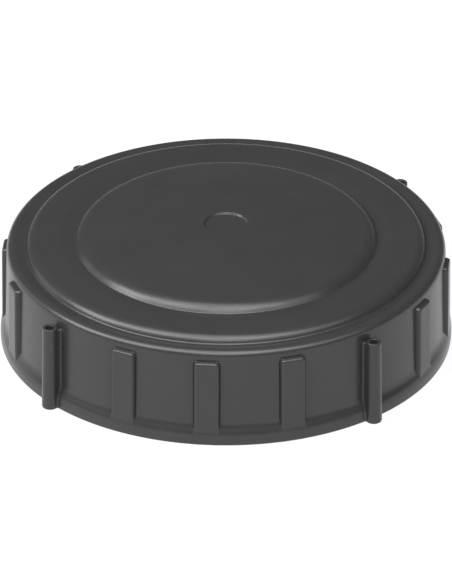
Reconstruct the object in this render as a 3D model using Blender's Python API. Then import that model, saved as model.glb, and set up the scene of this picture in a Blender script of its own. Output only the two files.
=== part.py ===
"""Screw lid of a wide-necked rock tumbler barrel, with the sealing ring that it holds under its deck.

The lid is one plastic moulding: a turned shell with grip ribs and upright tube lugs on its skirt, and a
coarse screw thread inside. The sealing ring is a flat rubber ring in a channel under the deck. It pulls out
downwards for washing.

Metres, +Z up. The origin is the centre of the lid's lower rim, on the plane that the lid stands on. The four
tube lugs lie on the X and Y axes.
"""
import math

import bmesh
import bpy
from mathutils import Matrix, Vector

MM = 0.001
CLEARANCE = 0.3 * MM          # free gap between the sealing ring and the moulding
OVERLAP = 1.0 * MM            # how far joined shapes run into each other

# Turned shell, outside
TURN_STEPS = 80
WIDE_ROUND = 2.0 * MM         # roundings from this radius up take four facets, and smaller ones take two
LIP_R = 87.0 * MM
LIP_EDGE = 0.8 * MM           # rounding of the lip's lower edge
LIP_TOP = 4.6 * MM
FLARE_TOP = 8.2 * MM
SKIRT_R_LOW = 85.0 * MM
SKIRT_R_TOP = 84.6 * MM
RIM_Z = 40.7 * MM             # corner of skirt and ledge, before it is rounded
RIM_ROUND = 2.8 * MM
LEDGE_Z = 38.95 * MM          # the dished ledge at its lowest, where the wall of the outer step meets it
STEP_R = 77.4 * MM
STEP_WALL_R = 75.7 * MM       # the top of that wall, before its shoulder is rounded
STEP_ROUND = 4.4 * MM
STEP_FOOT = 1.0 * MM          # fillet between that wall and the ledge
ANNULUS_Z = 42.4 * MM
ANNULUS_INNER_R = 64.0 * MM   # the annulus is flat outside this radius, and falls gently inside it
PLATEAU_R = 58.4 * MM         # where the plateau's wall meets the annulus
PLATEAU_FOOT_Z = 41.7 * MM
PLATEAU_EDGE_R = 56.1 * MM
PLATEAU_EDGE_Z = 44.9 * MM
PLATEAU_ROUND = 6.5 * MM
PLATEAU_FOOT = 0.8 * MM
DOME_TOP = 49.0 * MM
GATE_R = 8.5 * MM             # moulding gate's round recess, in the middle of the dome
GATE_DEPTH = 0.9 * MM

# Turned shell, inside
WALL = 3.0 * MM
THREAD_ROOT_R = 81.0 * MM
MOUTH_R = 83.4 * MM
MOUTH_CHAMFER_Z = 2.6 * MM
CHANNEL_R = 74.0 * MM
PLUG_OUTER_R = 63.7 * MM
PLUG_INNER_R = 61.2 * MM
PLUG_BOTTOM = 30.5 * MM

# What stands on the skirt: sixteen places, every fourth a tube lug and the others ribs
PLACES = 16
LUG_EVERY = 4
RIB_WIDTH = 9.9 * MM
RIB_FACE_R = 86.4 * MM
RIB_TOP = 35.7 * MM
RIB_CORNER = 1.7 * MM
LUG_AXIS_R = 88.1 * MM
LUG_R_TOP = 2.85 * MM
LUG_R_LOW = 3.2 * MM
LUG_TOP = 35.0 * MM
LUG_HOLE_R = 1.65 * MM
LUG_STEPS = 20
WEB_HALF_TOP = 2.4 * MM
WEB_HALF_LOW = 2.8 * MM
WEB_TOP = 33.9 * MM

# Internal thread
PITCH = 7.0 * MM
THREAD_TURNS = 2.25
THREAD_START_Z = 8.0 * MM
THREAD_CREST_R = 78.3 * MM
THREAD_BASE = 4.0 * MM
THREAD_CREST = 1.6 * MM
THREAD_STEPS = 40             # per turn
THREAD_RUNOUT = 20.0          # degrees over which each end of the thread rises from the wall

# Sealing ring
SEAL_THICK = 4.0 * MM
SEAL_ROUND = 0.5 * MM


def clear_scene():
    for obj in list(bpy.data.objects):
        bpy.data.objects.remove(obj, do_unlink=True)


def material(name, colour, roughness):
    mat = bpy.data.materials.new(name)
    mat.use_nodes = True
    shader = mat.node_tree.nodes["Principled BSDF"]
    shader.inputs["Base Color"].default_value = (*colour, 1.0)
    shader.inputs["Roughness"].default_value = roughness
    shader.inputs["Metallic"].default_value = 0.0
    return mat


def object_from(bm, name, mat):
    """Turn a bmesh into a smooth-shaded object whose faces point outwards."""
    bmesh.ops.recalc_face_normals(bm, faces=bm.faces)
    if bm.calc_volume(signed=True) < 0.0:
        bmesh.ops.reverse_faces(bm, faces=bm.faces)
    mesh = bpy.data.meshes.new(name)
    bm.to_mesh(mesh)
    bm.free()
    mesh.materials.append(mat)
    mesh.shade_smooth()
    mesh.set_sharp_from_angle(angle=math.radians(35.0))
    obj = bpy.data.objects.new(name, mesh)
    bpy.context.scene.collection.objects.link(obj)
    return obj


def rounded(corners):
    """Outline through (r, z, radius) corners, each rounded by an arc of that radius."""
    points = []
    last = len(corners) - 1
    for i, (r, z, radius) in enumerate(corners):
        here = Vector((r, z))
        if radius == 0.0 or i in (0, last):
            points.append(here)
            continue
        to_last = (Vector(corners[i - 1][:2]) - here).normalized()
        to_next = (Vector(corners[i + 1][:2]) - here).normalized()
        half = to_last.angle(to_next) / 2.0
        centre = here + (to_last + to_next).normalized() * (radius / math.sin(half))
        start = here + to_last * (radius / math.tan(half)) - centre
        turn = start.angle_signed(here + to_next * (radius / math.tan(half)) - centre)
        steps = 2 if radius < WIDE_ROUND else 4
        for k in range(steps + 1):
            swing = Matrix.Rotation(-turn * k / steps, 2)
            points.append(centre + swing @ start)
    return points


def dome_z(r, edge_r, edge_z, top_z):
    """Height at radius r of the spherical dome that rises from its edge to top_z."""
    rise = top_z - edge_z
    ball = (edge_r ** 2 + rise ** 2) / (2.0 * rise)
    return top_z - ball + math.sqrt(ball ** 2 - r ** 2)


def turned(outline, steps):
    """Closed body made by turning an (r, z) outline about Z; its ends on the axis become single points."""
    bm = bmesh.new()
    rings = []
    for r, z in outline:
        if r < 1e-9:
            rings.append([bm.verts.new((0.0, 0.0, z))])
            continue
        angles = (math.tau * k / steps for k in range(steps))
        rings.append([bm.verts.new((r * math.cos(a), r * math.sin(a), z)) for a in angles])
    pairs = list(zip(rings, rings[1:]))
    if len(rings[0]) > 1:
        pairs.append((rings[-1], rings[0]))
    for one, two in pairs:
        for k in range(steps):
            n = (k + 1) % steps
            quad = [one[k % len(one)], one[n % len(one)], two[n % len(two)], two[k % len(two)]]
            bm.faces.new(list(dict.fromkeys(quad)))
    return bm


def lid_outline():
    """Section of the shell from the middle of the dome, down the outside and back up the inside."""
    gate_floor = DOME_TOP - GATE_DEPTH
    gate_lip = dome_z(GATE_R, PLATEAU_EDGE_R, PLATEAU_EDGE_Z, DOME_TOP)
    outline = [(0.0, gate_floor, 0.0), (GATE_R - 0.4 * MM, gate_floor, 0.0), (GATE_R, gate_lip, 0.0)]
    for share in (0.35, 0.58, 0.80):
        r = PLATEAU_EDGE_R * share
        outline.append((r, dome_z(r, PLATEAU_EDGE_R, PLATEAU_EDGE_Z, DOME_TOP), 0.0))
    outline += [
        (PLATEAU_EDGE_R, PLATEAU_EDGE_Z, PLATEAU_ROUND),
        (PLATEAU_R, PLATEAU_FOOT_Z, PLATEAU_FOOT),
        (ANNULUS_INNER_R, ANNULUS_Z, 0.0),
        (STEP_WALL_R, ANNULUS_Z, STEP_ROUND),
        (STEP_R, LEDGE_Z, STEP_FOOT),
        (SKIRT_R_TOP, RIM_Z, RIM_ROUND),
        (SKIRT_R_LOW, FLARE_TOP, 1.5 * MM),
        (LIP_R, LIP_TOP, 1.5 * MM),
        (LIP_R, LIP_EDGE, 0.0),
        (LIP_R - LIP_EDGE, 0.0, 0.0),
        (MOUTH_R, 0.0, 0.0),
        (THREAD_ROOT_R, MOUTH_CHAMFER_Z, 0.0),
        (THREAD_ROOT_R, LEDGE_Z - WALL, 1.8 * MM),
        (CHANNEL_R, LEDGE_Z - WALL, 0.0),
        (CHANNEL_R, ANNULUS_Z - WALL, 0.0),
        (PLUG_OUTER_R, ANNULUS_Z - WALL, 0.0),
        (PLUG_OUTER_R, PLUG_BOTTOM + 1.0 * MM, 0.0),
        (PLUG_OUTER_R - 0.7 * MM, PLUG_BOTTOM, 0.0),
        (PLUG_INNER_R, PLUG_BOTTOM, 0.0),
        (PLUG_INNER_R, ANNULUS_Z - WALL, 1.5 * MM),
        (PLATEAU_R - WALL, ANNULUS_Z - WALL, 0.0),
        (PLATEAU_EDGE_R - WALL, PLATEAU_EDGE_Z - WALL, 0.0),
    ]
    for share in (0.75, 0.45, 0.0):
        r = PLATEAU_EDGE_R * share
        outline.append((r, dome_z(r, PLATEAU_EDGE_R, PLATEAU_EDGE_Z, DOME_TOP) - WALL, 0.0))
    return rounded(outline)


def loft(bm, loops):
    """Closed body through loops of equally many points, capped at both ends."""
    rings = [[bm.verts.new(point) for point in loop] for loop in loops]
    for one, two in zip(rings, rings[1:]):
        for k in range(len(one)):
            n = (k + 1) % len(one)
            bm.faces.new((one[k], one[n], two[n], two[k]))
    bm.faces.new(list(reversed(rings[0])))
    bm.faces.new(rings[-1])


def rib_body():
    """Flat grip rib on the +X side: rounded at its top corners, its foot lost in the lip's flare."""
    foot = LIP_TOP - OVERLAP
    depths = (
        (THREAD_ROOT_R + OVERLAP, 0.0),
        (RIB_FACE_R - 0.6 * MM, 0.3 * MM),
        (RIB_FACE_R, 0.8 * MM),
    )
    loops = []
    for r, inset in depths:
        half = RIB_WIDTH / 2.0 - inset
        top = RIB_TOP - inset
        loop = [(-half, foot), (half, foot)]
        for side, start in ((1.0, 0.0), (-1.0, 90.0)):
            for k in range(3):
                a = math.radians(start + 45.0 * k)
                loop.append((side * (half - RIB_CORNER) + RIB_CORNER * math.cos(a),
                             top - RIB_CORNER + RIB_CORNER * math.sin(a)))
        loops.append([(r, y, z) for y, z in loop])
    bm = bmesh.new()
    loft(bm, loops)
    return bm


def lug_body():
    """Upright tube on the +X side, rounded at its lower end and with a slight draft; not yet bored."""
    stations = ((0.0, LUG_R_LOW - 0.7 * MM), (0.7 * MM, LUG_R_LOW), (LUG_TOP - 0.3 * MM, LUG_R_TOP),
                (LUG_TOP, LUG_R_TOP - 0.3 * MM))
    loops = []
    for z, radius in stations:
        angles = (math.tau * k / LUG_STEPS for k in range(LUG_STEPS))
        loops.append([(LUG_AXIS_R + radius * math.cos(a), radius * math.sin(a), z) for a in angles])
    bm = bmesh.new()
    loft(bm, loops)
    return bm


def web_body():
    """Wall that ties a tube lug to the skirt and to the lip, thicker towards its lower end."""
    inner = THREAD_ROOT_R + OVERLAP
    outer = LUG_AXIS_R - LUG_R_TOP / 2.0
    low = 1.2 * MM
    inner_low = MOUTH_CHAMFER_Z + OVERLAP
    base = [(inner, -1.0, inner_low), (outer, -1.0, low), (outer, 1.0, low), (inner, 1.0, inner_low)]
    bm = bmesh.new()
    loft(bm, [
        [(x, side * WEB_HALF_LOW, z) for x, side, z in base],
        [(x, side * WEB_HALF_TOP, WEB_TOP) for x, side, _ in base],
    ])
    return bm


def hole_cutter(mat):
    """Upright bores of all the tube lugs, as one cutter."""
    bm = bmesh.new()
    for k in range(0, PLACES, LUG_EVERY):
        spin = Matrix.Rotation(math.tau * k / PLACES, 3, "Z")
        loops = []
        for z in (-OVERLAP, LUG_TOP + OVERLAP):
            angles = (math.tau * i / 12 for i in range(12))
            loops.append([spin @ Vector((LUG_AXIS_R + LUG_HOLE_R * math.cos(a), LUG_HOLE_R * math.sin(a), z))
                          for a in angles])
        loft(bm, loops)
    return object_from(bm, "lug_hole_cutter", mat)


def thread_body():
    """Helical ridge on the inside of the skirt, rising from the wall at both ends."""
    total = THREAD_TURNS * 360.0
    count = round(THREAD_TURNS * THREAD_STEPS)
    buried_r = THREAD_ROOT_R + OVERLAP
    loops = []
    for k in range(count + 1):
        degrees = total * k / count
        runout = min(1.0, degrees / THREAD_RUNOUT, (total - degrees) / THREAD_RUNOUT)
        crest_r = THREAD_ROOT_R + 0.3 * MM - (THREAD_ROOT_R + 0.3 * MM - THREAD_CREST_R) * runout
        z = THREAD_START_Z + PITCH * degrees / 360.0
        base = THREAD_BASE / 2.0
        crest = THREAD_CREST / 2.0
        section = ((buried_r, z - base), (crest_r, z - crest), (crest_r, z + crest), (buried_r, z + base))
        a = math.radians(degrees + 45.0)
        loops.append([(r * math.cos(a), r * math.sin(a), height) for r, height in section])
    bm = bmesh.new()
    loft(bm, loops)
    return bm


def combine(target, tool, operation):
    """Union or cut, applied at once, and the tool removed."""
    modifier = target.modifiers.new(operation.lower(), "BOOLEAN")
    modifier.operation = operation
    modifier.object = tool
    modifier.solver = "EXACT"
    evaluated = target.evaluated_get(bpy.context.evaluated_depsgraph_get())
    mesh = bpy.data.meshes.new_from_object(evaluated)
    target.modifiers.clear()
    old = target.data
    target.data = mesh
    mesh.name = target.name
    bpy.data.meshes.remove(old)
    bpy.data.objects.remove(tool, do_unlink=True)


def copies_around(build, places, mat, name):
    """One body for each of the given places round the skirt, all in one object of separate bodies."""
    bm = bmesh.new()
    for k in places:
        piece = build()
        piece.transform(Matrix.Rotation(math.tau * k / PLACES, 4, "Z"))
        mesh = bpy.data.meshes.new("piece")
        piece.to_mesh(mesh)
        piece.free()
        bm.from_mesh(mesh)
        bpy.data.meshes.remove(mesh)
    return object_from(bm, name, mat)


def build_lid(mat):
    lid = object_from(turned(lid_outline(), TURN_STEPS), "screw_lid", mat)
    lug_places = [k for k in range(PLACES) if k % LUG_EVERY == 0]
    rib_places = [k for k in range(PLACES) if k % LUG_EVERY != 0]
    combine(lid, copies_around(rib_body, rib_places, mat, "ribs"), "UNION")
    combine(lid, copies_around(web_body, lug_places, mat, "webs"), "UNION")
    combine(lid, copies_around(lug_body, lug_places, mat, "lugs"), "UNION")
    combine(lid, object_from(thread_body(), "thread", mat), "UNION")
    combine(lid, hole_cutter(mat), "DIFFERENCE")
    return lid


def build_seal(mat):
    """Flat ring with rounded edges, its top just under the channel's ceiling."""
    top = ANNULUS_Z - WALL - CLEARANCE
    bottom = top - SEAL_THICK
    inner = PLUG_OUTER_R + CLEARANCE
    outer = CHANNEL_R - CLEARANCE
    chamfer = SEAL_ROUND
    corners = [
        (inner, bottom + chamfer), (inner + chamfer, bottom), (outer - chamfer, bottom), (outer, bottom + chamfer),
        (outer, top - chamfer), (outer - chamfer, top), (inner + chamfer, top), (inner, top - chamfer),
    ]
    return object_from(turned(corners, TURN_STEPS), "sealing_ring", mat)


def main():
    clear_scene()
    build_lid(material("grey_plastic", (0.058, 0.058, 0.058), 0.38))
    build_seal(material("black_rubber", (0.018, 0.018, 0.018), 0.7))


main()
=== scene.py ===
"""Looks of the rock tumbler barrel's screw lid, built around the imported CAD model.

The lid is one smooth moulding: a skirt whose ribs and tube lugs run into it through small fillets, a turned
top, and a turned inside with a helical thread. All of it is one closed mesh, and the sealing ring is another.
Metres, in the frame of the CAD model: +Z up, the lid standing on the plane z = 0.
"""
import math

import bmesh
import bpy
from mathutils import Matrix, Vector
from mathutils.geometry import tessellate_polygon


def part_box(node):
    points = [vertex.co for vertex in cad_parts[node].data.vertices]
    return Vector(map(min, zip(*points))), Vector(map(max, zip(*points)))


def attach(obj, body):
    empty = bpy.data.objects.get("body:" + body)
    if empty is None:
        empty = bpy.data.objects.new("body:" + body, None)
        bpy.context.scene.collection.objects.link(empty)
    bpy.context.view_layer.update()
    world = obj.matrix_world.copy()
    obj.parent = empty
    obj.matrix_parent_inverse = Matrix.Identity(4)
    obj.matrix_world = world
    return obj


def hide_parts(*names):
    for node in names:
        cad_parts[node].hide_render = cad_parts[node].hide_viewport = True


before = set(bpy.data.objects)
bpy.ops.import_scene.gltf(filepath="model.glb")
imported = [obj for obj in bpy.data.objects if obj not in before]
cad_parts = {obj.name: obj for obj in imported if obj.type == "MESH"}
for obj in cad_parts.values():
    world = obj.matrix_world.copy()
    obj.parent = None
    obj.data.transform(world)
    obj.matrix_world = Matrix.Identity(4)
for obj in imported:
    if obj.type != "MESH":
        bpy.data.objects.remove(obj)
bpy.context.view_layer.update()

MM = 0.001

# The lid's driving dimensions, as in the CAD model
SEAL_LOW, SEAL_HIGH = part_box("sealing_ring")
SEAL_WIDTH = 9.7 * MM
LIP_R = 87.0 * MM
LIP_TOP = 4.6 * MM
FLARE_TOP = 8.2 * MM
SKIRT_R_LOW = 85.0 * MM
SKIRT_R_TOP = 84.6 * MM
RIM_Z = 40.7 * MM
RIM_ROUND = 2.8 * MM
LEDGE_Z = 38.95 * MM
STEP_R = 77.4 * MM
STEP_WALL_R = 75.7 * MM
STEP_ROUND = 4.4 * MM
STEP_FOOT = 1.0 * MM
ANNULUS_Z = 42.4 * MM
ANNULUS_INNER_R = 64.0 * MM
PLATEAU_FOOT_Z = 41.7 * MM
PLATEAU_R = 58.4 * MM
PLATEAU_EDGE_R = 56.1 * MM
PLATEAU_EDGE_Z = 44.9 * MM
PLATEAU_ROUND = 6.5 * MM
PLATEAU_FOOT = 0.8 * MM
DOME_TOP = 49.0 * MM
GATE_R = 8.5 * MM
GATE_DEPTH = 0.9 * MM
WALL = 3.0 * MM
THREAD_ROOT_R = 81.0 * MM
MOUTH_R = 83.4 * MM
MOUTH_CHAMFER_Z = 2.6 * MM
CHANNEL_R = 74.0 * MM
PLUG_OUTER_R = 63.7 * MM
PLUG_INNER_R = 61.2 * MM
PLUG_BOTTOM = 30.5 * MM
PITCH = 7.0 * MM
THREAD_TURNS = 2.25
THREAD_START_Z = 8.0 * MM
THREAD_START_ANGLE = 45.0      # degrees
THREAD_HEIGHT = 2.7 * MM
THREAD_BASE = 4.0 * MM
THREAD_CREST = 1.6 * MM
THREAD_FOOT_ROUND = 0.5 * MM
THREAD_CREST_ROUND = 0.4 * MM
THREAD_RUNOUT = 20.0           # degrees over which an end of the thread fades out
LUGS = 4
RIBS_BETWEEN = 3
RIB_HALF = 4.95 * MM
RIB_FACE_R = 86.4 * MM
RIB_TOP = 35.7 * MM
RIB_CORNER = 1.7 * MM
LUG_AXIS_R = 88.1 * MM
LUG_R_TOP = 2.85 * MM
LUG_R_LOW = 3.2 * MM
LUG_TOP = 35.0 * MM
LUG_HOLE_R = 1.65 * MM
WEB_HALF_TOP = 2.4 * MM
WEB_HALF_LOW = 2.8 * MM
WEB_TOP = 33.9 * MM
WEB_IN_TUBE = 0.95             # a web is no thicker than this share of its tube
BORE_BACK = 0.4 * MM           # plastic left behind a bore at the lug's foot

# Roundings and small details that the CAD model leaves coarse or leaves out
LUG_FILLET = 0.7 * MM          # where a web meets the skirt, and where it meets the tube
LUG_FOOT_ROUND = 0.8 * MM
LUG_TOP_ROUND = 0.35 * MM
WEB_ROUND = 0.8 * MM
RIB_SIDE_DRAFT = 0.35 * MM
RIB_FOOT_BLEND = 0.15 * MM
LIP_ROUND = 0.8 * MM
FLARE_ROUND = 7.5 * MM
RIB_EDGE_ROUND = 1.1 * MM
RIB_GROOVE_WIDTH = 0.55 * MM   # a groove along a rib's foot, only in the looks
RIB_GROOVE_DEPTH = 0.3 * MM
RIB_GROOVE_DEEPEST = 0.2       # how far from the rib it is deepest, as a share of its width
BORE_MOUTH = 0.25 * MM
ANNULUS_BLEND = 8.0 * MM
SEAL_ROUND = 0.5 * MM
PRINT_DEPTH = 0.12 * MM        # the print that the neck's rim leaves in the seal
PRINT_SIDE = 0.3 * MM
PRINT_ROUND = 0.2 * MM
GATE_ROUND = 0.3 * MM
GATE_DRAFT = 0.5 * MM

# Fineness of the mesh
TOP_COLUMNS = 360
INSIDE_COLUMNS = 240
GAP_COLUMNS = 9
FILLET_STEPS = 5
TUBE_STEPS = 13
TUBE_BACK_STEPS = 6
WEB_ARC_STEPS = 6
QUARTER_ANGLES = (0, 18, 36, 54, 72, 90)
FLARE_ROWS = 22
FLARE_ROWS_START = 2.2 * MM
FLARE_ROW_STEP = 0.36 * MM
PLAIN_ROWS = (13.0, 20.0, 27.0, 32.5)        # millimetres
CORNER_ROW = RIB_TOP - RIB_CORNER - 0.1 * MM
WALL_END = RIB_TOP + 0.7 * MM
TOP_START = RIB_TOP + 0.9 * MM
DOME_ROWS = 11
INNER_DOME_ROWS = (0.85, 0.7, 0.55, 0.4, 0.2)       # shares of the plateau's radius
ROW_GAP = 0.012 * MM           # rows of the skirt nearer than this are one row
MERGE_DISTANCE = 1e-7
SHARP_DEGREES = 50.0

# Camera, floor and light; angles in degrees
CAMERA_AZIMUTH = -40.0
CAMERA_ELEVATION = 29.7
CAMERA_DISTANCE = 8.0
CAMERA_MARGIN = 1.0020         # width seen, as a share of the lip's diameter
CAMERA_AIM_Z = 0.2102 * LIP_R
CAMERA_SENSOR = 36.0           # millimetres
CAMERA_CLIP_END = 100.0
FRAME_SIZE = (452, 584)
FLOOR_HALF = 6.0
FLOOR_GREY = 0.12
FLOOR_GLOW = 0.88
FILL_LIGHT = 0.12              # how strongly the surroundings light the lid
BACKDROP = 0.92                # how bright they look to the camera
SOFTBOX_SIZE = 0.7
SOFTBOX_DISTANCE = 1.6
# Rounded from a least-squares fit of one-light renders to the photo's brightness
SOFTBOXES = (
    # azimuth from the camera's, elevation, power in watts
    (-84.0, 36.0, 12.5),
    (-64.0, 45.0, 4.5),
    (-70.0, 62.0, 4.0),
    (-45.0, 52.0, 6.5),
    (-22.0, 58.0, 4.0),
    (-20.0, 80.0, 5.0),
    (0.0, 48.0, 7.0),
    (30.0, 62.0, 7.5),
    (35.0, 46.0, 3.0),
    (62.0, 45.0, 3.0),
    (-115.0, 14.0, 1.5),
)


def rounded(corners, step_degrees=12.0):
    """Outline through (a, b, radius) corners, each rounded by an arc of that radius."""
    points = []
    last = len(corners) - 1
    for i, (a, b, radius) in enumerate(corners):
        here = Vector((a, b))
        if radius == 0.0 or i in (0, last):
            points.append(here)
            continue
        to_last = (Vector(corners[i - 1][:2]) - here).normalized()
        to_next = (Vector(corners[i + 1][:2]) - here).normalized()
        half = to_last.angle(to_next) / 2.0
        centre = here + (to_last + to_next).normalized() * (radius / math.sin(half))
        start = here + to_last * (radius / math.tan(half)) - centre
        turn = start.angle_signed(here + to_next * (radius / math.tan(half)) - centre)
        steps = max(3, math.ceil(abs(math.degrees(turn)) / step_degrees))
        for k in range(steps + 1):
            points.append(centre + Matrix.Rotation(-turn * k / steps, 2) @ start)
    return points


def lerp_on(table, x):
    """Value at x of a function given by (x, y) points in rising order of x."""
    for (x0, y0), (x1, y1) in zip(table, table[1:]):
        if x <= x1:
            share = 0.0 if x1 == x0 else max(0.0, (x - x0) / (x1 - x0))
            return y0 + (y1 - y0) * share
    return table[-1][1]


def soft_lift(gap, blend):
    """The positive part of gap, with a smooth start over plus or minus blend."""
    if gap >= blend:
        return gap
    if gap <= -blend:
        return 0.0
    return (gap + blend) ** 2 / (4.0 * blend)


def dome_z(r):
    """Height at radius r of the spherical dome over the plateau."""
    rise = DOME_TOP - PLATEAU_EDGE_Z
    ball = (PLATEAU_EDGE_R ** 2 + rise ** 2) / (2.0 * rise)
    return DOME_TOP - ball + math.sqrt(ball ** 2 - r ** 2)


class Skin:
    """Points and faces of one closed surface, collected ring by ring. Rings run anticlockwise from above."""

    def __init__(self):
        self.points = []
        self.faces = []

    def add(self, points):
        """Add points and return their indices."""
        first = len(self.points)
        self.points += [tuple(p) for p in points]
        return list(range(first, len(self.points)))

    def circle(self, r, z, columns, start_angle=0.0):
        """Add a circle about Z."""
        angles = (start_angle + math.tau * k / columns for k in range(columns))
        return self.add((r * math.cos(a), r * math.sin(a), z) for a in angles)

    def face(self, *corners):
        """Add a face, unless repeated corners leave fewer than three."""
        corners = list(dict.fromkeys(corners))
        if len(corners) > 2:
            self.faces.append(corners)

    def band(self, one, two, closed=True):
        """Quads between two rings of equally many points, the second one above or inside the first."""
        count = len(one)
        for k in range(count if closed else count - 1):
            n = (k + 1) % count
            self.face(one[k], one[n], two[n], two[k])

    def angle_of(self, index):
        x, y, _ = self.points[index]
        return math.atan2(y, x) % math.tau

    def stitch(self, one, two):
        """Triangles between two rings of unequally many points, matched by their angle about Z."""
        def from_lowest(ring):
            start = min(range(len(ring)), key=lambda k: self.angle_of(ring[k]))
            turned = ring[start:] + ring[:start]
            return turned, [self.angle_of(p) for p in turned] + [math.tau + self.angle_of(turned[0])]
        one, angles_one = from_lowest(one)
        two, angles_two = from_lowest(two)
        i = j = 0
        while i < len(one) or j < len(two):
            here = one[i % len(one)], two[j % len(two)]
            if j == len(two) or (i < len(one) and angles_one[i + 1] <= angles_two[j + 1]):
                self.face(here[0], one[(i + 1) % len(one)], here[1])
                i += 1
            else:
                self.face(here[0], two[(j + 1) % len(two)], here[1])
                j += 1

    def to_object(self, name, mat):
        """Smooth-shaded object made of the collected faces, which have to close."""
        bm = bmesh.new()
        verts = [bm.verts.new(p) for p in self.points]
        for corners in self.faces:
            bm.faces.new([verts[c] for c in corners])
        bmesh.ops.remove_doubles(bm, verts=bm.verts, dist=MERGE_DISTANCE)
        bmesh.ops.recalc_face_normals(bm, faces=bm.faces)
        if bm.calc_volume(signed=True) < 0.0:
            bmesh.ops.reverse_faces(bm, faces=bm.faces)
        loose = [e for e in bm.edges if len(e.link_faces) != 2]
        if loose:
            raise ValueError(f"{name} has {len(loose)} edges that don't join two faces")
        mesh = bpy.data.meshes.new(name)
        bm.to_mesh(mesh)
        bm.free()
        mesh.materials.append(mat)
        mesh.shade_smooth()
        mesh.set_sharp_from_angle(angle=math.radians(SHARP_DEGREES))
        obj = bpy.data.objects.new(name, mesh)
        bpy.context.scene.collection.objects.link(obj)
        weighted = obj.modifiers.new("even_shading", "WEIGHTED_NORMAL")
        weighted.keep_sharp = True
        return obj


def skirt_profile():
    """(z, r) points up the outside of the skirt, from the lip's lower edge to below the top's rim."""
    corners = [
        (LIP_R - 2.0 * LIP_ROUND, 0.0, 0.0),
        (LIP_R, 0.0, LIP_ROUND),
        (LIP_R, LIP_TOP, FLARE_ROUND),
        (SKIRT_R_LOW, FLARE_TOP, FLARE_ROUND),
        (SKIRT_R_TOP, RIM_Z, 0.0),
    ]
    outline = rounded(corners, step_degrees=4.0)[1:]
    return [(p.y, p.x) for p in outline]


def rib_section():
    """(inset, height share) points across a rib's edge: groove, drafted side and the start of the flat face.

    The first and the last corner only give the directions there, and are left out of the result.
    """
    height = RIB_FACE_R - SKIRT_R_TOP
    corners = [
        (-2.0 * MM, 0.0, 0.0),
        (-RIB_GROOVE_WIDTH, 0.0, 0.0),
        (-RIB_GROOVE_DEEPEST * RIB_GROOVE_WIDTH, -RIB_GROOVE_DEPTH, 0.0),
        (RIB_SIDE_DRAFT, height, RIB_EDGE_ROUND),
        (2.5 * MM, height, 0.0),
    ]
    points = rounded(corners, step_degrees=16.0)[1:-1]
    return [(p.x, p.y / height) for p in points]


def rib_inset(t, z):
    """How far the place (t, z) on the skirt lies inside a rib's outline, whose top corners are round."""
    across = RIB_HALF - abs(t)
    up = RIB_TOP - z
    if across < RIB_CORNER and up < RIB_CORNER:
        return RIB_CORNER - math.hypot(RIB_CORNER - across, RIB_CORNER - up)
    return min(across, up)


def rib_half_width(z):
    """Half the width of a rib's outline at height z."""
    rise = min(max(z - (RIB_TOP - RIB_CORNER), 0.0), RIB_CORNER)
    return RIB_HALF - RIB_CORNER + math.sqrt(RIB_CORNER ** 2 - rise ** 2)


def rib_points(skirt_r, z, section):
    """(x, y) points across a rib on the +X side at height z, in rising order of y."""
    half = rib_half_width(z)
    side = [half - inset for inset, _ in section]
    face = [side[-1] * share for share in (0.5, 0.0, -0.5)]
    points = []
    for t in [-t for t in side] + [-t for t in face] + side[::-1]:
        round_x = math.sqrt(skirt_r ** 2 - t ** 2)
        share = lerp_on(section, rib_inset(t, z))
        points.append((round_x + share * soft_lift(RIB_FACE_R - round_x, RIB_FOOT_BLEND), t))
    return points


def lug_half(skirt_r, tube_r, web_half):
    """(x, y) points round half a lug on the +X side at one height, from the skirt to the tube's front."""
    reach = min(web_half, WEB_IN_TUBE * tube_r) + LUG_FILLET
    skirt_x = math.sqrt((skirt_r + LUG_FILLET) ** 2 - reach ** 2)
    tube_x = LUG_AXIS_R - math.sqrt((tube_r + LUG_FILLET) ** 2 - reach ** 2)
    if skirt_x > tube_x:
        swell = (skirt_r + LUG_FILLET) ** 2 - (tube_r + LUG_FILLET) ** 2
        skirt_x = tube_x = (LUG_AXIS_R ** 2 + swell) / (2.0 * LUG_AXIS_R)
        reach = math.sqrt((skirt_r + LUG_FILLET) ** 2 - skirt_x ** 2)
    to_skirt = math.atan2(-reach, -skirt_x)
    to_web = -math.pi / 2.0
    to_tube = math.atan2(-reach, LUG_AXIS_R - tube_x)
    points = []
    for centre_x, first, last in ((skirt_x, to_skirt, to_web), (tube_x, to_web, to_tube)):
        for k in range(FILLET_STEPS + 1):
            a = first + (last - first) * k / FILLET_STEPS
            points.append((centre_x + LUG_FILLET * math.cos(a), reach + LUG_FILLET * math.sin(a)))
    tangent = math.atan2(reach, tube_x - LUG_AXIS_R)
    for k in range(1, TUBE_STEPS + 1):
        a = tangent * (1.0 - k / TUBE_STEPS)
        points.append((LUG_AXIS_R + tube_r * math.cos(a), tube_r * math.sin(a)))
    return points


def foot_round(z, radius):
    """How far a lower edge of that radius draws in at height z."""
    rise = min(z, radius)
    return radius - math.sqrt(radius ** 2 - (radius - rise) ** 2)


def tube_r_at(z):
    """A tube lug's radius at height z."""
    draft = LUG_R_LOW + (LUG_R_TOP - LUG_R_LOW) * z / LUG_TOP
    return draft - foot_round(z, LUG_FOOT_ROUND) - foot_round(max(0.0, LUG_TOP - z), LUG_TOP_ROUND)


def web_half_at(z):
    """Half a web's thickness at height z."""
    draft = WEB_HALF_LOW + (WEB_HALF_TOP - WEB_HALF_LOW) * z / WEB_TOP
    return draft - foot_round(max(0.0, WEB_TOP - z), WEB_ROUND)


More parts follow.
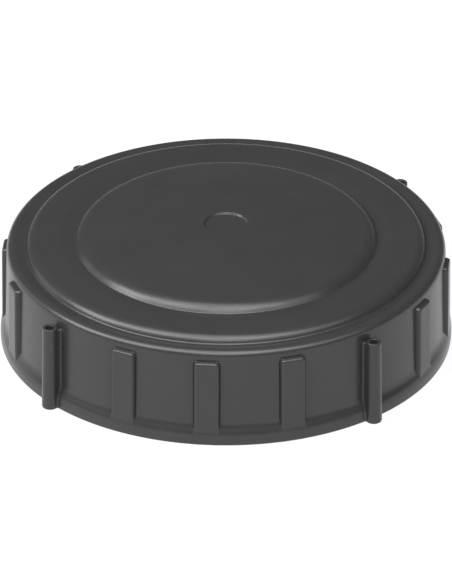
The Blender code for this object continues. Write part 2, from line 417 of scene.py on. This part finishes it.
def wall_heights(section):
    """Heights of the rows up the skirt, close together where its outline or what stands on it turns."""
    quarter = [1.0 - math.cos(math.radians(a)) for a in QUARTER_ANGLES]
    heights = [LIP_ROUND * q for q in quarter] + [LUG_FOOT_ROUND * q for q in quarter[1:]]
    heights += [FLARE_ROWS_START + FLARE_ROW_STEP * k for k in range(FLARE_ROWS)]
    heights += [z * MM for z in PLAIN_ROWS]
    heights += [WEB_TOP - WEB_ROUND * q for q in quarter]
    heights += [RIB_TOP - inset for inset, _ in section]
    heights += [CORNER_ROW, WALL_END]
    rows = []
    for z in sorted(WEB_TOP if abs(z - WEB_TOP) < ROW_GAP else z for z in heights):
        if not rows or z - rows[-1] > ROW_GAP:
            rows.append(z)
    return rows


def wall_ring(skin, z, skirt_r, section, with_lugs, web_base):
    """One row of the skirt: its points, those of each lug or of the skirt there, and a lug's half angle."""
    ring = []
    lug_parts = []
    places = LUGS * (RIBS_BETWEEN + 1)
    half = lug_half(skirt_r, tube_r_at(min(z, LUG_TOP)), web_half_at(min(z, WEB_TOP)))
    base = math.atan2(half[0][1], half[0][0]) if with_lugs else web_base
    rib = rib_points(skirt_r, z, section)
    rib_edge = math.atan2(rib[-1][1], rib[-1][0])
    arc = [base * (2.0 * k / WEB_ARC_STEPS - 1.0) for k in range(WEB_ARC_STEPS + 1)]
    behind = [(skirt_r * math.cos(a), skirt_r * math.sin(a)) for a in arc]
    for place in range(places):
        turn = Matrix.Rotation(math.tau * place / places, 2)
        if place % (RIBS_BETWEEN + 1) == 0:
            shape = [(x, -y) for x, y in half] + half[-2::-1] if with_lugs else behind
            edge = base
        else:
            shape = rib
            edge = rib_edge
        next_is_lug = (place + 1) % (RIBS_BETWEEN + 1) == 0
        next_edge = math.tau / places - (base if next_is_lug else rib_edge)
        gap = [edge + (next_edge - edge) * k / (GAP_COLUMNS + 1) for k in range(1, GAP_COLUMNS + 1)]
        shape = shape + [(skirt_r * math.cos(a), skirt_r * math.sin(a)) for a in gap]
        indices = skin.add((*(turn @ Vector(p)), z) for p in shape)
        if place % (RIBS_BETWEEN + 1) == 0:
            lug_parts.append(indices[:len(shape) - GAP_COLUMNS])
        ring += indices
    return ring, lug_parts, base


def swap_lugs(skin, ring, lug_parts, z, arc_r, base):
    """The same row with an arc of radius arc_r about Z in place of each lug's outline, and those arcs."""
    plain = list(ring)
    arcs = []
    for n, part in enumerate(lug_parts):
        turn = Matrix.Rotation(math.tau * n / LUGS, 2)
        inner = [base * (2.0 * k / WEB_ARC_STEPS - 1.0) for k in range(1, WEB_ARC_STEPS)]
        points = (turn @ Vector((arc_r * math.cos(a), arc_r * math.sin(a))) for a in inner)
        arc = [part[0]] + skin.add((*p, z) for p in points) + [part[-1]]
        start = plain.index(part[0])
        plain[start:start + len(part)] = arc
        arcs.append(arc)
    return plain, arcs


def tube_top(skin, n, outline, arc):
    """Close the web's top, carry the tube on above it and bore it through. Returns the bore's lower ring."""
    turn = Matrix.Rotation(math.tau * n / LUGS, 2)
    web_points = 2 * (FILLET_STEPS + 1)
    front = outline[web_points - 1:len(outline) - web_points + 1]
    tangent = Matrix.Rotation(-math.tau * n / LUGS, 2) @ Vector(skin.points[front[-1]][:2])
    side = math.atan2(tangent.y, tangent.x - LUG_AXIS_R)
    back = [side + (math.tau - 2.0 * side) * k / TUBE_BACK_STEPS for k in range(1, TUBE_BACK_STEPS)]
    angles = [side * (2.0 * k / (len(front) - 1) - 1.0) for k in range(len(front))] + back

    def loop(radius, z, which=angles):
        points = (turn @ Vector((LUG_AXIS_R + radius * math.cos(a), radius * math.sin(a))) for a in which)
        return skin.add((*p, z) for p in points)

    back_ring = loop(tube_r_at(WEB_TOP), WEB_TOP, back)
    web_face = outline[:web_points] + back_ring[::-1] + outline[len(outline) - web_points:] + arc[-2:0:-1]
    skin.face(*web_face)
    ring = front + back_ring
    heights = [LUG_TOP - LUG_TOP_ROUND * (1.0 - math.sin(math.radians(a))) for a in QUARTER_ANGLES]
    for z in heights:
        higher = loop(tube_r_at(z), z)
        skin.band(ring, higher)
        ring = higher
    bend = 0.3 * BORE_MOUTH
    bore = (
        (LUG_HOLE_R + BORE_MOUTH, LUG_TOP),
        (LUG_HOLE_R + bend, LUG_TOP - bend),
        (LUG_HOLE_R, LUG_TOP - BORE_MOUTH),
        (LUG_HOLE_R, 0.0),
    )
    for radius, z in bore:
        inner = loop(radius, z)
        skin.band(ring, inner)
        ring = inner
    return ring


def lug_foot(skin, outline, arc, bore):
    """The flat lower end of a lug, with its bore."""
    border = outline + arc[-2:0:-1]
    loops = [[Vector(skin.points[p]) for p in border], [Vector(skin.points[p]) for p in bore]]
    indices = border + bore
    for triangle in tessellate_polygon(loops):
        skin.face(*(indices[c] for c in triangle))


def outer_wall(skin):
    """Skirt, lip, ribs and lugs. Returns the lowest and the highest plain ring."""
    section = rib_section()
    profile = skirt_profile()
    web_base = None
    lower = None
    bottom = None
    for z in wall_heights(section):
        skirt_r = lerp_on(profile, z)
        with_lugs = z <= WEB_TOP
        ring, parts, base = wall_ring(skin, z, skirt_r, section, with_lugs, web_base)
        if lower:
            skin.band(lower, ring)
        else:
            bottom = (ring, parts, base)
        lower = ring
        if z == WEB_TOP:
            web_base = base
            lower, arcs = swap_lugs(skin, ring, parts, z, skirt_r, base)
            bores = [tube_top(skin, n, parts[n], arcs[n]) for n in range(LUGS)]
    ring, parts, base = bottom
    lowest, arcs = swap_lugs(skin, ring, parts, 0.0, LUG_AXIS_R - LUG_HOLE_R - BORE_BACK, base)
    for n in range(LUGS):
        lug_foot(skin, parts[n], arcs[n], bores[n])
    return lowest, lower


def outer_top(skin, wall_top):
    """Rim, ledge, steps, annulus and domed plateau, with the gate's recess in the middle."""
    gate_floor = DOME_TOP - GATE_DEPTH
    corners = [
        (SKIRT_R_TOP, TOP_START, 0.0),
        (SKIRT_R_TOP, RIM_Z, RIM_ROUND),
        (STEP_R, LEDGE_Z, STEP_FOOT),
        (STEP_WALL_R, ANNULUS_Z, STEP_ROUND),
        (ANNULUS_INNER_R, ANNULUS_Z, ANNULUS_BLEND),
        (PLATEAU_R, PLATEAU_FOOT_Z, PLATEAU_FOOT),
        (PLATEAU_EDGE_R, PLATEAU_EDGE_Z, PLATEAU_ROUND),
    ]
    shares = [0.90 - 0.07 * k for k in range(DOME_ROWS)]
    corners += [(PLATEAU_EDGE_R * s, dome_z(PLATEAU_EDGE_R * s), 0.0) for s in shares]
    corners += [
        (GATE_R, dome_z(GATE_R), GATE_ROUND),
        (GATE_R - GATE_DRAFT, gate_floor, GATE_ROUND),
        (0.0, gate_floor, 0.0),
    ]
    lower = wall_top
    for k, (r, z) in enumerate(rounded(corners, step_degrees=9.0)[:-1]):
        ring = skin.circle(r, z, TOP_COLUMNS)
        if k == 0:
            skin.stitch(lower, ring)
        else:
            skin.band(lower, ring)
        lower = ring
    skin.face(*lower)


def inside(skin, bottom_ring):
    """Mouth, threaded wall, channel, plug ring and the underside of the dome."""
    start_angle = math.radians(THREAD_START_ANGLE)
    ceiling = ANNULUS_Z - WALL
    corners = [
        (MOUTH_R + 0.3 * MM, 0.0, 0.0),
        (MOUTH_R, 0.0, 0.25 * MM),
        (THREAD_ROOT_R, MOUTH_CHAMFER_Z, 0.6 * MM),
        (THREAD_ROOT_R, LEDGE_Z - WALL, 1.8 * MM),
        (CHANNEL_R, LEDGE_Z - WALL, 0.3 * MM),
        (CHANNEL_R, ceiling, 0.2 * MM),
        (PLUG_OUTER_R, ceiling, 0.2 * MM),
        (PLUG_OUTER_R, PLUG_BOTTOM, 0.8 * MM),
        (PLUG_INNER_R, PLUG_BOTTOM, 0.5 * MM),
        (PLUG_INNER_R, ceiling, 1.5 * MM),
        (PLATEAU_R - WALL, ceiling, 1.0 * MM),
        (PLATEAU_EDGE_R - WALL, PLATEAU_EDGE_Z - WALL, 2.0 * MM),
    ]
    for share in INNER_DOME_ROWS:
        r = PLATEAU_EDGE_R * share
        corners.append((r, dome_z(r) - WALL, 0.0))
    corners.append((0.0, DOME_TOP - WALL, 0.0))
    outline = rounded(corners, step_degrees=15.0)[:-1]
    rings = [skin.circle(r, z, INSIDE_COLUMNS, start_angle) for r, z in outline]
    skin.stitch(bottom_ring, rings[0])
    thread_gap = next(k for k, p in enumerate(outline) if p.y > THREAD_START_Z)
    for k in range(1, len(rings)):
        if k == thread_gap:
            thread_wall(skin, rings[k - 1], rings[k], start_angle)
        else:
            skin.band(rings[k - 1], rings[k])
    skin.face(*rings[-1])


def thread_wall(skin, below, above, start_angle):
    """Inside wall between two circles, with the helical thread standing on it."""
    half = PITCH / 2.0
    section = rounded([
        (-half, 0.0, 0.0),
        (-THREAD_BASE / 2.0, 0.0, THREAD_FOOT_ROUND),
        (-THREAD_CREST / 2.0, THREAD_HEIGHT, THREAD_CREST_ROUND),
        (THREAD_CREST / 2.0, THREAD_HEIGHT, THREAD_CREST_ROUND),
        (THREAD_BASE / 2.0, 0.0, THREAD_FOOT_ROUND),
        (half, 0.0, 0.0),
    ], step_degrees=20.0)[:-1]
    columns = len(below)
    turns = math.ceil(THREAD_TURNS) + 1
    total = columns * turns
    strips = []
    for k in range(total):
        degrees = 360.0 * k / columns
        rise = min(1.0, degrees / THREAD_RUNOUT, max(0.0, THREAD_TURNS * 360.0 - degrees) / THREAD_RUNOUT)
        lift = rise * rise * (3.0 - 2.0 * rise)
        a = start_angle + math.radians(degrees)
        centre = THREAD_START_Z + PITCH * degrees / 360.0
        strip = []
        for p in section:
            r = THREAD_ROOT_R - p.y * lift
            strip.append((r * math.cos(a), r * math.sin(a), centre + p.x))
        strips.append(skin.add(strip))
    top_edge = []
    for k in range(columns):
        degrees = 360.0 * (total + k) / columns
        a = start_angle + math.radians(degrees)
        z = THREAD_START_Z + PITCH * degrees / 360.0 - half
        top_edge += skin.add([(THREAD_ROOT_R * math.cos(a), THREAD_ROOT_R * math.sin(a), z)])
    after = strips + [[p] for p in top_edge]

    def column(k):
        """A strip's points and the first point of the strip one turn further up."""
        return strips[k] + [after[k + columns][0]]

    for k in range(total - 1):
        skin.band(column(k + 1), column(k), closed=False)
    for k in range(columns - 1):
        skin.face(below[k], below[k + 1], strips[k + 1][0], strips[k][0])
        skin.face(top_edge[k], top_edge[k + 1], above[k + 1], above[k])
    skin.face(below[-1], below[0], *column(0), strips[columns - 1][0])
    skin.face(*column(total - 1), above[-1], above[0], top_edge[0])


def lid_mesh(mat):
    """The whole moulding as one closed mesh."""
    skin = Skin()
    lowest, highest = outer_wall(skin)
    outer_top(skin, highest)
    inside(skin, lowest)
    return skin.to_object("screw_lid_moulding", mat)


def seal_mesh(mat):
    """Flat rubber ring with rounded edges and the shallow print that the neck's rim leaves in its face."""
    outer = SEAL_HIGH.x
    inner = outer - SEAL_WIDTH
    print_inner = inner + 2.2 * MM
    print_outer = outer - 1.6 * MM
    low = SEAL_LOW.z
    high = SEAL_HIGH.z
    middle = (low + high) / 2.0
    floor_z = low + PRINT_DEPTH
    corners = [
        (inner, middle, 0.0),
        (inner, low, SEAL_ROUND),
        (print_inner, low, PRINT_ROUND),
        (print_inner + PRINT_SIDE, floor_z, PRINT_ROUND),
        (print_outer - PRINT_SIDE, floor_z, PRINT_ROUND),
        (print_outer, low, PRINT_ROUND),
        (outer, low, SEAL_ROUND),
        (outer, high, SEAL_ROUND),
        (inner, high, SEAL_ROUND),
        (inner, middle, 0.0),
    ]
    skin = Skin()
    rings = [skin.circle(r, z, INSIDE_COLUMNS) for r, z in rounded(corners, step_degrees=18.0)[:-1]]
    for one, two in zip(rings, rings[1:] + rings[:1]):
        skin.band(one, two)
    return skin.to_object("sealing_ring_rubber", mat)


def shader_of(name):
    """A new node material, its nodes and its links."""
    mat = bpy.data.materials.new(name)
    mat.use_nodes = True
    return mat, mat.node_tree.nodes, mat.node_tree.links


def noise(nodes, links, coords, scale, detail):
    node = nodes.new("ShaderNodeTexNoise")
    node.inputs["Scale"].default_value = scale
    node.inputs["Detail"].default_value = detail
    links.new(coords.outputs["Object"], node.inputs["Vector"])
    return node


def spread(nodes, links, source, low, high):
    """Map a texture's 0.3 to 0.7 onto low to high."""
    node = nodes.new("ShaderNodeMapRange")
    node.inputs["From Min"].default_value = 0.3
    node.inputs["From Max"].default_value = 0.7
    node.inputs["To Min"].default_value = low
    node.inputs["To Max"].default_value = high
    links.new(source, node.inputs["Value"])
    return node.outputs["Result"]


def moulded(name, mottle, grain, tints, roughness, bump):
    """Material with a slow mottle in its colour and a fine grain in its roughness and its bump.

    mottle and grain are (scale, detail) of a noise, roughness a (low, high), bump a (strength, distance).
    """
    mat, nodes, links = shader_of(name)
    shader = nodes["Principled BSDF"]
    coords = nodes.new("ShaderNodeTexCoord")
    slow = noise(nodes, links, coords, *mottle)
    fine = noise(nodes, links, coords, *grain)
    tint = nodes.new("ShaderNodeMixRGB")
    tint.inputs["Color1"].default_value = (*tints[0], 1.0)
    tint.inputs["Color2"].default_value = (*tints[1], 1.0)
    links.new(spread(nodes, links, slow.outputs["Fac"], 0.0, 1.0), tint.inputs["Fac"])
    links.new(tint.outputs["Color"], shader.inputs["Base Color"])
    links.new(spread(nodes, links, fine.outputs["Fac"], *roughness), shader.inputs["Roughness"])
    relief = nodes.new("ShaderNodeBump")
    relief.inputs["Strength"].default_value = bump[0]
    relief.inputs["Distance"].default_value = bump[1]
    links.new(fine.outputs["Fac"], relief.inputs["Height"])
    links.new(relief.outputs["Normal"], shader.inputs["Normal"])
    return mat


def plastic():
    """Dark grey moulded plastic: satin, faintly mottled, with a fine grain."""
    mat = moulded(
        "dark_grey_plastic",
        mottle=(60.0, 4.0),
        grain=(2600.0, 2.0),
        tints=((0.0280, 0.0280, 0.0283), (0.0305, 0.0305, 0.0307)),
        roughness=(0.26, 0.30),
        bump=(0.05, 0.00001),
    )
    mat.node_tree.nodes["Principled BSDF"].inputs["Specular IOR Level"].default_value = 0.46
    return mat


def rubber():
    """Black solid rubber: matt, with a talc-like bloom and a fine pebble."""
    return moulded(
        "black_rubber",
        mottle=(110.0, 5.0),
        grain=(1800.0, 3.0),
        tints=((0.012, 0.012, 0.012), (0.026, 0.026, 0.025)),
        roughness=(0.62, 0.78),
        bump=(0.35, 0.00004),
    )


def floor():
    """Pale table that gives off most of its light itself, so that the softboxes hardly mark it."""
    mat, nodes, _ = shader_of("pale_floor")
    shader = nodes["Principled BSDF"]
    shader.inputs["Base Color"].default_value = (FLOOR_GREY, FLOOR_GREY, FLOOR_GREY, 1.0)
    shader.inputs["Roughness"].default_value = 0.9
    shader.inputs["Specular IOR Level"].default_value = 0.0
    shader.inputs["Emission Color"].default_value = (1.0, 1.0, 1.0, 1.0)
    shader.inputs["Emission Strength"].default_value = FLOOR_GLOW
    bm = bmesh.new()
    bmesh.ops.create_grid(bm, x_segments=1, y_segments=1, size=FLOOR_HALF)
    mesh = bpy.data.meshes.new("floor")
    bm.to_mesh(mesh)
    bm.free()
    mesh.materials.append(mat)
    obj = bpy.data.objects.new("floor", mesh)
    bpy.context.scene.collection.objects.link(obj)


def direction(azimuth, elevation):
    """Unit vector towards a place given by azimuth (0 is -Y, 90 is +X) and elevation, in degrees."""
    a, e = math.radians(azimuth), math.radians(elevation)
    return Vector((math.sin(a) * math.cos(e), -math.cos(a) * math.cos(e), math.sin(e)))


def camera():
    """A very long lens at the photo's angle, aimed so that the lid fills the width of the frame."""
    width_seen = LIP_R * 2.0 * CAMERA_MARGIN
    data = bpy.data.cameras.new("camera")
    data.sensor_width = CAMERA_SENSOR
    height_seen = width_seen * FRAME_SIZE[1] / FRAME_SIZE[0]
    data.lens = data.sensor_width * CAMERA_DISTANCE / height_seen
    data.clip_end = CAMERA_CLIP_END
    obj = bpy.data.objects.new("camera", data)
    bpy.context.scene.collection.objects.link(obj)
    back = direction(CAMERA_AZIMUTH, CAMERA_ELEVATION)
    obj.location = Vector((0.0, 0.0, CAMERA_AIM_Z)) + back * CAMERA_DISTANCE
    obj.rotation_euler = back.to_track_quat("Z", "Y").to_euler()
    bpy.context.scene.camera = obj


def lights():
    """Softboxes round the camera's side of the lid, most of them to its left, and faint fill from everywhere.

    The surroundings look paler to the camera than they light, so that the background stays pale.
    """
    for n, (azimuth, elevation, power) in enumerate(SOFTBOXES):
        data = bpy.data.lights.new(f"softbox_{n}", "AREA")
        data.shape = "SQUARE"
        data.size = SOFTBOX_SIZE
        data.energy = power
        obj = bpy.data.objects.new(f"softbox_{n}", data)
        bpy.context.scene.collection.objects.link(obj)
        towards = direction(CAMERA_AZIMUTH + azimuth, elevation)
        obj.location = towards * SOFTBOX_DISTANCE
        obj.rotation_euler = towards.to_track_quat("Z", "Y").to_euler()
    world = bpy.data.worlds.new("studio")
    world.use_nodes = True
    nodes = world.node_tree.nodes
    background = nodes["Background"]
    background.inputs["Color"].default_value = (1.0, 1.0, 1.0, 1.0)
    path = nodes.new("ShaderNodeLightPath")
    strength = nodes.new("ShaderNodeMapRange")
    strength.inputs["To Min"].default_value = FILL_LIGHT
    strength.inputs["To Max"].default_value = BACKDROP
    world.node_tree.links.new(path.outputs["Is Camera Ray"], strength.inputs["Value"])
    world.node_tree.links.new(strength.outputs["Result"], background.inputs["Strength"])
    bpy.context.scene.world = world


lid = lid_mesh(plastic())
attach(lid, "lid")
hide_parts("screw_lid")

seal = seal_mesh(rubber())
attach(seal, "seal")
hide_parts("sealing_ring")

floor()
camera()
lights()
bpy.context.scene.view_settings.view_transform = "Standard"
